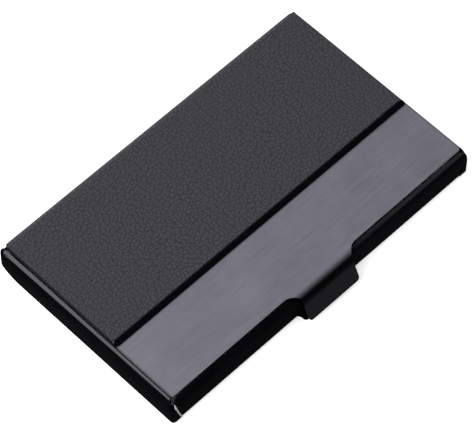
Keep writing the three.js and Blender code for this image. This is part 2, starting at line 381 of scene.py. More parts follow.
class Wire:
    """A shader value that takes part in Python arithmetic."""

    def __init__(self, graph: "Graph", socket: bpy.types.NodeSocket) -> None:
        """Wraps one output socket."""
        self.graph = graph
        self.socket = socket

    def _math(self, kind: str, a: Any, b: Any) -> "Wire":
        """One Math node."""
        return self.graph.node("ShaderNodeMath", {"operation": kind}, {0: a, 1: b})

    def __add__(self, other: Any) -> "Wire":
        """Sum."""
        return self._math("ADD", self, other)

    def __radd__(self, other: Any) -> "Wire":
        """Sum with the number first."""
        return self._math("ADD", other, self)

    def __sub__(self, other: Any) -> "Wire":
        """Difference."""
        return self._math("SUBTRACT", self, other)

    def __rsub__(self, other: Any) -> "Wire":
        """Difference with the number first."""
        return self._math("SUBTRACT", other, self)

    def __mul__(self, other: Any) -> "Wire":
        """Product."""
        return self._math("MULTIPLY", self, other)

    def __rmul__(self, other: Any) -> "Wire":
        """Product with the number first."""
        return self._math("MULTIPLY", other, self)


class Graph:
    """The node tree of one material."""

    def __init__(self, name: str) -> None:
        """Starts an empty material with a Principled shader.

        Args:
            name: the material's name.
        """
        self.material = bpy.data.materials.new(name)
        self.material.use_nodes = True
        self.tree = self.material.node_tree
        self.shader = self.tree.nodes["Principled BSDF"]

    def node(self, kind: str, settings: dict[str, Any] | None = None,
             inputs: dict[Any, Any] | None = None, output: Any = 0) -> Wire:
        """Adds a node.

        Args:
            kind: Blender's node type.
            settings: properties, set before the sockets.
            inputs: values or wires by socket name or index.
            output: name or index of the output that is returned.

        Returns:
            The chosen output.
        """
        made = self.tree.nodes.new(kind)
        for key, value in (settings or {}).items():
            setattr(made, key, value)
        for key, value in (inputs or {}).items():
            self._feed(made.inputs[key], value)
        return Wire(self, made.outputs[output])

    def _feed(self, socket: bpy.types.NodeSocket, value: Any) -> None:
        """Links a wire to a socket, or gives the socket a plain value.

        Args:
            socket: the socket.
            value: a wire, a number or a colour.
        """
        if isinstance(value, Wire):
            self.tree.links.new(value.socket, socket)
        elif socket.type == "RGBA" and len(value) == 3:
            socket.default_value = (*value, 1.0)
        else:
            socket.default_value = value

    def place(self, scale: Triple = (1, 1, 1)) -> Wire:
        """Object coordinates, in metres times a scale for each axis.

        Args:
            scale: the factor along each axis.

        Returns:
            The scaled coordinates.
        """
        where = self.node("ShaderNodeTexCoord", output="Object")
        return self.node("ShaderNodeMapping", {"vector_type": "POINT"},
                         {"Vector": where, "Scale": scale})

    def axis(self, name: str) -> Wire:
        """One Object coordinate, in millimetres."""
        where = self.node("ShaderNodeTexCoord", output="Object")
        return self.node("ShaderNodeSeparateXYZ", inputs={0: where}, output=name) * (1 / MM)

    def step(self, value: Wire, low: float, high: float) -> Wire:
        """Smooth step from 0 at low to 1 at high."""
        return self.node("ShaderNodeMapRange", {"interpolation_type": "SMOOTHSTEP"},
                         {"Value": value, "From Min": low, "From Max": high})

    def either(self, a: Wire, b: Wire) -> Wire:
        """The larger of two values."""
        return self.node("ShaderNodeMath", {"operation": "MAXIMUM"}, {0: a, 1: b})

    def span(self, name: str) -> Wire:
        """Distance from the middle plane along one Object axis, in millimetres."""
        return self.node("ShaderNodeMath", {"operation": "ABSOLUTE"}, {0: self.axis(name)})

    def noise(self, where: Wire, scale: float, detail: float = 3.0, rough: float = 0.55) -> Wire:
        """Noise from 0 to 1."""
        return self.node("ShaderNodeTexNoise", {"noise_dimensions": "3D"},
                         {"Vector": where, "Scale": scale, "Detail": detail, "Roughness": rough})

    def mix(self, factor: Any, a: Any, b: Any) -> Wire:
        """Mix of two colours."""
        return self.node("ShaderNodeMix", {"data_type": "RGBA"}, {0: factor, 6: a, 7: b}, 2)

    def bump(self, height: Wire, depth: float, strength: float = 1.0,
             under: Wire | None = None) -> Wire:
        """Bump from a height field whose full swing is depth millimetres.

        Args:
            height: the height field, from 0 to 1.
            depth: its full swing in millimetres.
            strength: how strongly it shows.
            under: the bump that it lies on, if any.

        Returns:
            The bumped normal.
        """
        inputs: dict[Any, Any] = {"Height": height, "Distance": depth * MM, "Strength": strength}
        if under is not None:
            inputs["Normal"] = under
        return self.node("ShaderNodeBump", inputs=inputs)

    def dress(self, **values: Any) -> bpy.types.Material:
        """Sets the shader's sockets and returns the material.

        Args:
            **values: socket names with underscores for spaces, and values or wires.

        Returns:
            The finished material.
        """
        for key, value in values.items():
            self._feed(self.shader.inputs[key.replace("_", " ")], value)
        return self.material


@dataclass(frozen=True)
class BrushedLidFinish:
    """Gunmetal sheet brushed along the length, with painted light towards its left end and painted
    shade on its thumb tab.
    """

    light: Colour = (0.161, 0.158, 0.19)
    dark: Colour = (0.12, 0.118, 0.141)
    # Painted light: the lighter tone the sheet takes towards its left end.
    painted_light: Colour = (0.2, 0.197, 0.235)
    # tab and valley: painted dark reflection and shade on the bent thumb tab, darkest in the bend;
    # valley also darkens the side and rear edges.
    tab: Colour = (0.0092, 0.0094, 0.0104)
    valley: Colour = (0.0012, 0.0012, 0.0015)
    fade_start: float = LID_FRONT - 0.35
    fade_stop: float = LID_FRONT - 2.4
    lip_start: float = LID_FRONT - 2.85
    lip_stop: float = LID_FRONT - 3.5

    def material(self) -> bpy.types.Material:
        """Builds the material.

        Returns:
            The material.
        """
        g = Graph("brushed_gunmetal")
        long_lines = g.noise(g.place((70, 1500, 1500)), 1.0, 4.0, 0.65)
        fine_lines = g.noise(g.place((220, 5200, 5200)), 1.0, 3.0, 0.7)
        cloud = g.noise(g.place((90, 90, 90)), 1.0, 3.0, 0.55)
        grain = long_lines * 0.3 + fine_lines * 0.35 + cloud * 0.35
        plain = g.mix(g.step(grain, 0.34, 0.66), self.dark, self.light)
        # Painted light: the sheet turns lighter towards the left end, where the light falls on it.
        steel = g.mix(g.step(0 - g.axis("X"), -12.0, 46.0) * 0.2, plain, self.painted_light)
        # Painted shade and dark reflection: past the front bend the thumb tab fades to near black,
        # the lip beyond it a little lighter.
        y = g.axis("Y")
        black = g.mix(g.step(0 - y, -self.lip_start, -self.lip_stop), self.valley, self.tab)
        tab_shade = g.step(0 - y, -self.fade_start, -self.fade_stop)
        # Painted shade: the plate's outer edges, fully beside the leather and half as strong ahead
        # of it, are darkened for the shadow in the gap at the lid's sides; the rolled rear edge is
        # darkened to the same colour.
        side = g.step(g.span("X"), LID_HALF - 0.4, LID_HALF - 0.08)
        rolled = g.step(y, HINGE[0] - 1.5, HINGE[0])
        beside = side * (0.5 + 0.5 * g.step(y, LID_FRONT + 17.0, LID_FRONT + 18.0))
        shaded = g.mix(g.either(beside, rolled), steel, self.valley)
        top = g.bump(fine_lines, 0.006, 0.6)
        return g.dress(
            Base_Color=g.mix(tab_shade, shaded, black),
            Metallic=0.55 * (1 - g.either(tab_shade, rolled)),
            Roughness=0.5 + 0.1 * long_lines,
            Specular_IOR_Level=0.002,
            Normal=g.bump(long_lines, 0.01, 0.4, top),
        )


@dataclass(frozen=True)
class LeatherFinish:
    """Charcoal leather with a fine pebbled grain, darker where its edge is cut."""

    crown: Colour = (0.0424, 0.0417, 0.0505)
    ground: Colour = (0.0322, 0.0318, 0.0388)
    crease: Colour = (0.0172, 0.0171, 0.0212)
    cut: Colour = (0.002, 0.002, 0.0024)
    pebble: float = 980.0

    def material(self) -> bpy.types.Material:
        """Builds the material.

        Returns:
            The material.
        """
        g = Graph("pebbled_leather")
        drift = g.node("ShaderNodeTexNoise", {"noise_dimensions": "3D"},
                       {"Vector": g.place(), "Scale": 700.0, "Detail": 2.0}, output="Color")
        shaken = g.node("ShaderNodeVectorMath", {"operation": "MULTIPLY_ADD"},
                        {0: drift, 1: (0.0014, 0.0014, 0.0), 2: g.place((1.0, 1.25, 1.0))})
        cells = g.node("ShaderNodeTexVoronoi", {"feature": "SMOOTH_F1", "voronoi_dimensions": "2D"},
                       {"Vector": shaken, "Scale": self.pebble, "Smoothness": 0.35})
        seams = g.node("ShaderNodeTexVoronoi", {"feature": "DISTANCE_TO_EDGE",
                                                "voronoi_dimensions": "2D"},
                       {"Vector": shaken, "Scale": self.pebble})
        dome = 0.45 * (1 - g.step(cells, 0.1, 0.6)) + 0.55 * g.step(seams, 0.0, 0.2)
        soft = g.noise(g.place(), 1500.0, 2.0, 0.5)
        relief = dome * 0.7 + soft * 0.3
        pores = g.noise(g.place(), 5200.0, 3.0, 0.6)
        cloud = g.noise(g.place(), 45.0, 3.0, 0.55)
        # Partly the leather's own tone, partly painted shade and highlight: the creases are
        # coloured darker and the crowns lighter, following the same relief as the bump.
        low = g.mix(g.step(relief, 0.1, 0.5), self.crease, self.ground)
        high = g.mix(g.step(relief, 0.45, 0.95), low, self.crown)
        patch = g.mix(g.step(cloud, 0.3, 0.7) * 0.25, high, self.ground)
        edge = g.step(g.span("X"), LID_HALF - 0.4, LID_HALF - 0.2)
        fine = g.bump(pores, 0.012, 0.35)
        return g.dress(
            Base_Color=g.mix(edge, patch, self.cut),
            Roughness=0.6 - 0.12 * relief,
            Specular_IOR_Level=0.1,
            Normal=g.bump(relief, 0.16, 1.0, fine),
        )


@dataclass(frozen=True)
class BlackCoatFinish:
    """Smooth black coat, which may be rubbed off a rim, with painted highlights along one cut edge
    and along the front wall's shoulder.

    Attributes:
        name: the material's name.
        coat, worn: colours of the coat and of its smears.
        rim: colour of the bare rim.
        rim_front, rim_rear: heights at which the bare rim begins, ahead and behind.
        rim_rear_y, rim_run: where rim_rear holds, and the distance from there to rim_front.
        rim_blur: half the height over which the rim fades into the coat.
        rim_end: where the bare rim stops towards the hinge.
        ear_edge: distance of the front ear's free edge from the middle at its top, and its
            linear and square change on the way down.
        ear_height: height of the free edge.
        painted_light: colour of the painted highlight along the free edge.
        edge_glint: whether a painted highlight is laid along the free edge of the left front ear.
        ridge_highlight: colour of the painted highlight along the front wall's shoulder.
        ridge_highlight_heights, ridge_highlight_run: heights between which the painted highlight
            comes in, and the positions along the length between which it comes to full strength.
        gloss: specular level.
    """

    name: str = "black_coat"
    coat: Colour = (0.0014, 0.0014, 0.0018)
    worn: Colour = (0.0026, 0.0026, 0.0033)
    rim: Colour = (0.075, 0.0735, 0.0825)
    rim_front: float | None = None
    rim_rear: float = 7.5
    rim_rear_y: float = 12.0
    rim_run: float = 32.0
    rim_blur: float = 0.12
    rim_end: float = 28.4
    ear_edge: Triple = (47.25, -1.3, -0.95)
    ear_height: float = 8.15
    painted_light: Colour = (0.24, 0.24, 0.25)
    edge_glint: bool = False
    ridge_highlight: Colour | None = None
    ridge_highlight_heights: Point = (7.85, 8.3)
    ridge_highlight_run: Point = (-10.0, 30.0)
    gloss: float = 0.0004

    def material(self) -> bpy.types.Material:
        """Builds the material.

        Returns:
            The material.
        """
        g = Graph(self.name)
        peel = g.noise(g.place(), 700.0, 2.0, 0.5)
        smear = g.noise(g.place((40, 90, 90)), 1.0, 4.0, 0.6)
        colour = g.mix(g.step(smear, 0.35, 0.75), self.coat, self.worn)
        roughness: Any = 0.3 + 0.14 * smear
        metallic: Any = 0.0
        if self.rim_front is not None:
            bare = self._bare_rim(g)
            lines = g.noise(g.place((3000, 30, 3000)), 1.0, 3.0, 0.6)
            steel = g.mix(lines, tuple(0.85 * c for c in self.rim), self.rim)
            colour = g.mix(bare, colour, steel)
            metallic = 0.5 * bare
            roughness = roughness + 0.2 * bare
        # Painted highlight: a thin bright line along the left front ear's free edge, where the edge
        # catches the light.
        if self.edge_glint:
            colour = g.mix(self._edge_glint_mask(g), colour, self.painted_light)
        # Painted highlight along the top of the front wall's shoulder, growing towards the right,
        # where the light catches it.
        if self.ridge_highlight is not None:
            top = (g.step(g.axis("Z"), *self.ridge_highlight_heights)
                   * g.step(g.axis("X"), *self.ridge_highlight_run))
            colour = g.mix(top, colour, self.ridge_highlight)
        return g.dress(Base_Color=colour, Roughness=roughness, Metallic=metallic,
                       Specular_IOR_Level=self.gloss, Normal=g.bump(peel, 0.004, 0.3))

    def _bare_rim(self, g: Graph) -> Wire:
        """Where the rim is bare: above a line that rises a little towards the front.

        Args:
            g: the material's graph.

        Returns:
            1 where the rim is bare and 0 elsewhere.
        """
        y, z = g.axis("Y"), g.axis("Z")
        slope = (self.rim_front - self.rim_rear) / self.rim_run
        over = z - (self.rim_rear + slope * (self.rim_rear_y - y))
        return (g.step(over, -self.rim_blur, self.rim_blur)
                * (1 - g.step(y, self.rim_end, self.rim_end + 0.8))
                * g.step(y, LID_FRONT + 0.1, LID_FRONT + 0.5))

    def _edge_glint_mask(self, g: Graph) -> Wire:
        """A painted highlight: a thin bright line along the free edge of the left front ear.

        Args:
            g: the material's graph.

        Returns:
            1 on the line and 0 elsewhere.
        """
        top, first, second = self.ear_edge
        down = (RIM_TOP - g.axis("Z")) * (1 / self.ear_height)
        from_edge = g.span("X") - (top + first * down + second * down * down)
        ahead = 1 - g.step(g.axis("Y"), LID_FRONT - 0.6, LID_FRONT - 0.2)
        line = g.step(from_edge, -0.25, -0.1) * (1 - g.step(from_edge, 0.16, 0.34))
        return line * ahead * (1 - g.step(g.axis("X"), -10.0, 0.0))


@dataclass(frozen=True)
class BeadFinish:
    """Glossy black bead with faint drag marks."""

    base: Colour = (0.0009, 0.0009, 0.0011)
    drag: Colour = (0.0022, 0.0022, 0.0027)

    def material(self) -> bpy.types.Material:
        """Builds the material.

        Returns:
            The material.
        """
        g = Graph("bead_black")
        marks = g.noise(g.place((25, 2500, 2500)), 1.0, 3.0, 0.6)
        return g.dress(Base_Color=g.mix(marks, self.base, self.drag),
                       Roughness=0.28 + 0.12 * marks, Specular_IOR_Level=0.002,
                       Normal=g.bump(marks, 0.004, 0.3))


@dataclass(frozen=True)
class BoardFinish:
    """Matt fibre board under the leather."""

    base: Colour = (0.006, 0.006, 0.007)
    fibre: Colour = (0.014, 0.014, 0.016)

    def material(self) -> bpy.types.Material:
        """Builds the material.

        Returns:
            The material.
        """
        g = Graph("fibre_board")
        fibres = g.noise(g.place((900, 2600, 2600)), 1.0, 4.0, 0.7)
        return g.dress(Base_Color=g.mix(fibres, self.base, self.fibre), Roughness=0.8,
                       Specular_IOR_Level=0.1, Normal=g.bump(fibres, 0.02, 0.6))


@dataclass(frozen=True)
class BareMetalFinish:
    """Bare metal with turned or rolled marks.

    Attributes:
        name: the material's name.
        light, dark: colours of the marks.
        stretch: scale of the marks along each axis.
        roughness: mean roughness.
    """

    name: str
    light: Colour
    dark: Colour
    stretch: Triple
    roughness: float

    def material(self) -> bpy.types.Material:
        """Builds the material.

        Returns:
            The material.
        """
        g = Graph(self.name)
        marks = g.noise(g.place(self.stretch), 1.0, 4.0, 0.65)
        smudge = g.noise(g.place(), 120.0, 3.0, 0.55)
        return g.dress(
            Base_Color=g.mix(g.step(marks, 0.3, 0.7), self.dark, self.light),
            Metallic=0.9,
            Roughness=self.roughness + 0.12 * smudge,
            Normal=g.bump(marks, 0.006, 0.5),
        )


# ---------------------------------------------------------------- the case


@dataclass
class Piece:
    """One piece as it is handed to the frame.

    Attributes:
        obj: its object.
        body: the body that it moves with.
        slot: the record's slot of its finish; not used.
        stands_for: CAD nodes that it replaces.
    """

    obj: bpy.types.Object
    body: Body
    slot: Slot
    stands_for: tuple[str, ...]

    def hand_over(self, material: bpy.types.Material) -> None:
        """Dresses the piece and ties it to the frame.

        Args:
            material: the piece's finish.
        """
        self.obj.data.materials.clear()
        self.obj.data.materials.append(material)
        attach(self.obj, self.body.value)
        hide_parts(*self.stands_for)
        LOG.info("%s: %d faces on %s", self.obj.name, len(self.obj.data.polygons),
                 self.body.value)


@dataclass
class Lid:
    """Brushed plate with its tab and rolled edge, and what is laid on it."""

    tab_half: float = 8.0
    tab_lead: float = 1.0
    tab_bend: float = 1.8
    tab_angle: float = 67.0
    tab_drop: float = 7.22
    tab_fillet: float = 3.5
    tab_corner: float = 0.9
    front_corner: float = 0.9
    roll_end: float = -45.0
    plate_rounding: float = 0.09
    trim_front: float = 17.5
    trim_width: float = 1.55
    trim_top: float = 0.42
    trim_low: float = 0.02
    trim_rounding: float = 0.17
    leather_front: float = 19.2
    leather_top: float = 0.5
    leather_thickness: float = 0.26
    leather_inset: float = 0.16
    leather_rounding: float = 0.11
    board_top: float = 0.22
    board_thickness: float = 0.2
    board_inset: float = 0.05
    board_rounding: float = 0.04
    panel_corner: float = 0.7
    panel_rear_corner: float = 2.6
    wrap_end: float = 15.0
    ear: Point = (45.95, 46.4)
    ear_radius: float = LID_ROLL - 0.55
    ear_rounding: float = 0.06

    def _rear(self, lift: float, end: float) -> list[Point]:
        """Rolled edge from the flat to its end, at a height over the sheet."""
        r = LID_ROLL + lift
        return arc(HINGE[0], HINGE[1], r, r, 90, end, 36)

    def _tab_line(self) -> list[Point]:
        """Outer line of the tab from its tip to the plate's front edge.

        Returns:
            The line's points.
        """
        y, z = LID_FRONT - self.tab_lead, LID_TOP - self.tab_bend
        bend = arc(y, z, self.tab_bend, self.tab_bend, 90 + self.tab_angle, 90, 28)
        a = math.radians(self.tab_angle)
        run = (bend[0][1] - (LID_TOP - self.tab_drop)) / math.sin(a)
        tip = (bend[0][0] - run * math.cos(a), bend[0][1] - run * math.sin(a))
        return [tip, *bend, (LID_FRONT, LID_TOP)]

    def plate(self) -> Piece:
        """The lid plate.

        Returns:
            The piece.
        """
        front = self._tab_line()
        line = BendLine(tidy([*front, *self._rear(0.0, self.roll_end)], False),
                        zero=len(front) - 1)
        tip, rear = line.stations[0], line.stations[-1]
        c, f, k = self.tab_corner, self.tab_fillet, self.front_corner
        blank = mirrored([
            *arc(self.tab_half - c, tip + c, c, c, -90, 0, 8),
            *arc(self.tab_half + f, -f, f, f, 180, 90, 16),
            *arc(LID_HALF - k, k, k, k, -90, 0, 8),
            *arc(LID_HALF - 0.4, rear - 0.4, 0.4, 0.4, 0, 90, 4),
        ])
        mesh = bmesh.new()
        PressedSheet(blank, SHEET, self.plate_rounding, along_x(line), line.stations[1:-1]
                     ).add_to(mesh)
        inner, outer = self.ear
        ring = arc(*HINGE, self.ear_radius, self.ear_radius, 0, 360, 40)
        for sign in (1.0, -1.0):
            PressedSheet(ring, outer - inner, self.ear_rounding, upright_at(sign * outer, sign)
                         ).add_to(mesh)
        return Piece(finished("lid_plate_brushed", mesh), Body.LID, Slot.LID, ("lid_plate",))

    def _layer(self, name: str, front: float, top: float, thickness: float, half: float,
               rounding: float) -> bpy.types.Object:
        """A sheet laid over the plate and round the rolled edge.

        Args:
            name: the piece's name.
            front: distance of its front edge behind the plate's front edge.
            top: height of its upper face over the plate.
            thickness: sheet thickness.
            half: half its length.
            rounding: radius of its edges.

        Returns:
            The finished object.
        """
        line = BendLine(tidy([(LID_FRONT, LID_TOP + top), *self._rear(top, self.wrap_end)], False))
        rear = line.stations[-1]
        corner, wide = self.panel_corner, self.panel_rear_corner
        blank = mirrored([
            *arc(half - corner, front + corner, corner, corner, -90, 0, 8),
            *arc(half - wide, rear - wide, wide, wide, 0, 90, 20),
        ])
        mesh = bmesh.new()
        PressedSheet(blank, thickness, rounding, along_x(line), line.stations[1:-1]).add_to(mesh)
        return finished(name, mesh)

    def leather(self) -> Piece:
        """The leather panel.

        Returns:
            The piece.
        """
        obj = self._layer("leather_panel_grained", self.leather_front, self.leather_top,
                          self.leather_thickness, LID_HALF - self.leather_inset,
                          self.leather_rounding)
        return Piece(obj, Body.LID, Slot.LEATHER, ("leather_panel",))

    def board(self) -> Piece:
        """The board under the leather.

        Returns:
            The piece.
        """
        obj = self._layer("leather_backing_board", self.leather_front + 0.05, self.board_top,
                          self.board_thickness, LID_HALF - self.board_inset,
                          self.board_rounding)
        return Piece(obj, Body.LID, Slot.BACKING, ("leather_backing",))

    def trim(self) -> Piece:
        """The raised bead in front of the leather.

        Returns:
            The piece.
        """
        r = self.trim_width / 2
        middle = LID_FRONT + self.trim_front + r
        ends = mirrored(arc(LID_HALF - r, middle, r, r, -90, 90, 24))
        mesh = bmesh.new()
        PressedSheet(ends, self.trim_top - self.trim_low, self.trim_rounding,
                     flat_at(LID_TOP + self.trim_top), edge_steps=5).add_to(mesh)
        return Piece(finished("edge_trim_bead", mesh), Body.LID, Slot.TRIM, ("edge_trim",))

    def build(self) -> None:
        """Builds and dresses the lid."""
        self.plate().hand_over(BrushedLidFinish().material())
        self.board().hand_over(BoardFinish().material())
        self.leather().hand_over(LeatherFinish().material())
        self.trim().hand_over(BeadFinish().material())


@dataclass
class Tray:
    """Black tray: floor with front wall, end walls, hinge pins and washers."""

    half: float = 47.44
    front_half: float = 47.0
    swell: float = 1.75
    gap: float = 0.3
    shoulder: float = 2.3
    dip: float = 1.7
    dip_run: float = 2.0
    heel: float = 1.1
    tail_length: float = 12.0
    tail_rise: float = 4.3
    rear: float = 30.0
    rear_lip: float = 4.15
    notch_shoulder: float = 3.2
    notch_half: float = 8.35
    notch_depth: float = 3.4
    notch_foot: float = 0.6
    rest_half: float = 8.0
    rest_reach: float = 2.0
    rest_fillet: float = 1.6
    rounding: float = 0.08
    pin_head: Point = (44.8, 45.1)
    pin_head_radius: float = 1.0
    pin_radius: float = 0.6
    pin_end: float = 47.25
    pin_dome: float = 0.17
    washer_middle: float = 46.5

    def _front_line(self) -> list[Point]:
        """Outer line of the front wall, from its rim down to the floor.

        Returns:
            The line's points.
        """
        lip = LID_FRONT - self.gap
        front = LID_FRONT - self.swell
        return [*arc(lip, RIM_TOP - self.shoulder, lip - front, self.shoulder, 90, 180, 28),
                *arc(front + self.heel, self.heel, self.heel, self.heel, 180, 270, 20)]

    def shell(self) -> Piece:
        """Floor and front wall in one sheet, with the thumb rest.

        Returns:
            The piece.
        """
        front = self._front_line()
        tail = [p for p in arc(self.rear - self.tail_length, self.tail_rise, self.tail_length,
                               self.tail_rise, 270, 360, 48) if p[1] < self.rear_lip]
        points = tidy([*front, *tail], False)
        flipped = [(y, z) for y, z in reversed(points)]
        line = BendLine(flipped, zero=len(flipped) - 1)
        first, last = line.stations[0], line.stations[-1]
        total = len(flipped)

        def rise(z: float) -> float:
            """Developed length at a height on the front wall.

            Args:
                z: the height.

            Returns:
                The developed length.
            """
            for i in range(total - 1, 0, -1):
                a, b = flipped[i - 1][1], flipped[i][1]
                if a <= z <= b:
                    t = (z - a) / (b - a) if b > a else 0.0
                    return line.stations[i - 1] + t * (line.stations[i] - line.stations[i - 1])
            return last

        r, n, foot = self.notch_shoulder, self.notch_half, self.notch_foot
        floor = RIM_TOP - self.notch_depth
        notch = [(n + r, last)]
        notch += [(x, rise(min(z, RIM_TOP - 1e-3)))
                  for x, z in arc(n + r, RIM_TOP - r, r, r, 92, 180, 16)]
        notch += [(x, rise(z)) for x, z in arc(n - foot, floor + foot, foot, foot, 0, -90, 5)]
        turn = rise(self.heel)
        right = [(self.half - 0.3, first), (self.half, first + 0.3), (self.half, turn - 1.2),
                 (self.front_half, turn), (self.front_half, rise(RIM_TOP - self.dip)),
                 *arc(self.front_half - self.dip_run, rise(RIM_TOP - self.dip), self.dip_run,
                      last - rise(RIM_TOP - self.dip), 8, 90, 10), *notch]
        mesh = bmesh.new()
        PressedSheet(mirrored(right), SHEET, self.rounding, along_x(line), line.stations[1:-1]
                     ).add_to(mesh)
        self._thumb_rest(mesh)
        return Piece(finished("tray_shell_black", mesh), Body.TRAY, Slot.TRAY, ("base_shell",))

    def _thumb_rest(self, mesh: bmesh.types.BMesh) -> None:
        """Adds the tongue of the floor ahead of the front wall.

        Args:
            mesh: the shell's mesh.
        """
        front = LID_FRONT - self.swell
        root, tip, fillet = front + self.heel * 0.6, 0.8, self.rest_fillet
        outline = mirrored([
            *arc(self.rest_half - tip, front - self.rest_reach + tip, tip, tip, 270, 360, 8),
            *arc(self.rest_half + fillet, root - fillet, fillet, fillet, 180, 90, 12),
            (self.rest_half + fillet, front + self.heel),
        ])
        PressedSheet(outline, SHEET - 0.02, self.rounding, flat_at(SHEET - 0.01)).add_to(mesh)

    def end_wall(self, name: str, node: str) -> Piece:
        """An end wall, cleaned from the frame's own solid and given soft edges.

        Args:
            name: the piece's name.
            node: the CAD node that it stands for.

        Returns:
            The piece.
        """
        mesh = bmesh.new()
        mesh.from_mesh(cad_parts[node].data)
        bmesh.ops.remove_doubles(mesh, verts=mesh.verts, dist=4e-6)
        bmesh.ops.dissolve_limit(mesh, angle_limit=math.radians(1.0), verts=mesh.verts,
                                 edges=mesh.edges)
        return Piece(finished(name, mesh, 38.0), Body.TRAY, Slot.WALL, (node,))

    def pin(self, name: str, node: str, sign: float) -> Piece:
        """A hinge pin with a head inside and a domed end outside.

        Args:
            name: the piece's name.
            node: the CAD node that it stands for.
            sign: +1 on the right, -1 on the left.

        Returns:
            The piece.
        """
        inner, outer = self.pin_head
        head, shank, chamfer = self.pin_head_radius, self.pin_radius, 0.1
        edge = 0.8 * chamfer
        profile = [(inner, 0.0), (inner, head - chamfer), (inner + chamfer, head),
                   (outer - edge, head), (outer, head - edge), (outer, shank)]
        profile += [(self.pin_end + self.pin_dome * math.sin(math.radians(a)),
                     shank * math.cos(math.radians(a))) for a in range(0, 91, 15)]
        turns = 48
        mesh = bmesh.new()
        rings = []
        for x, r in profile:
            count = turns if r > 1e-6 else 1
            rings.append([mesh.verts.new(Vector((
                sign * x, HINGE[0] + r * math.cos(2 * math.pi * i / turns),
                HINGE[1] + r * math.sin(2 * math.pi * i / turns))) * MM) for i in range(count)])
        for a, b in zip(rings, rings[1:]):
            for i in range(turns):
                j = (i + 1) % turns
                corners = [a[i % len(a)], a[j % len(a)], b[j % len(b)], b[i % len(b)]]
                mesh.faces.new(list(dict.fromkeys(corners)))
        return Piece(finished(name, mesh), Body.TRAY, Slot.PIN, (node,))

    def washer(self, name: str, node: str, sign: float) -> Piece:
        """A wave washer, made by a rule in Geometry Nodes.

        Args:
            name: the piece's name.
            node: the CAD node that it stands for.
            sign: +1 on the right, -1 on the left.

        Returns:
            The piece.
        """
        obj = WaveWasher().build(name)
        centre = Vector((sign * self.washer_middle, HINGE[0], HINGE[1])) * MM
        obj.data.transform(Matrix.Translation(centre) @ Matrix.Rotation(math.pi / 2, 4, "Y"))
        obj.data.shade_smooth()
        obj.data.set_sharp_from_angle(angle=math.radians(40))
        return Piece(obj, Body.TRAY, Slot.WASHER, (node,))

    def build(self) -> None:
        """Builds and dresses the tray."""
        # The shell gets the painted highlights along the front wall's shoulder and along the left
        # front ear's free edge.
        self.shell().hand_over(BlackCoatFinish(name="tray_coat", edge_glint=True,
                                               ridge_highlight=(0.014, 0.014, 0.016)).material())
        pin = BareMetalFinish("blackened_pin", (0.012, 0.012, 0.013), (0.006, 0.006, 0.007),
                              (4000.0, 400.0, 400.0), 0.35).material()
        spring = BareMetalFinish("spring_steel", (0.5, 0.5, 0.52), (0.34, 0.34, 0.36),
                                 (800.0, 800.0, 800.0), 0.32).material()
        for side, sign in (("left", -1.0), ("right", 1.0)):
            # The left wall gets the painted highlight along its front ear's free edge.
            wall = BlackCoatFinish(name=f"wall_coat_{side}", rim_front=7.84,
                                   edge_glint=sign < 0).material()
            self.end_wall(f"end_wall_{side}_coated", f"end_wall_{side}").hand_over(wall)
            self.pin(f"hinge_pin_{side}_turned", f"hinge_pin_{side}", sign).hand_over(pin)
            self.washer(f"wave_washer_{side}", f"spring_washer_{side}", sign).hand_over(spring)


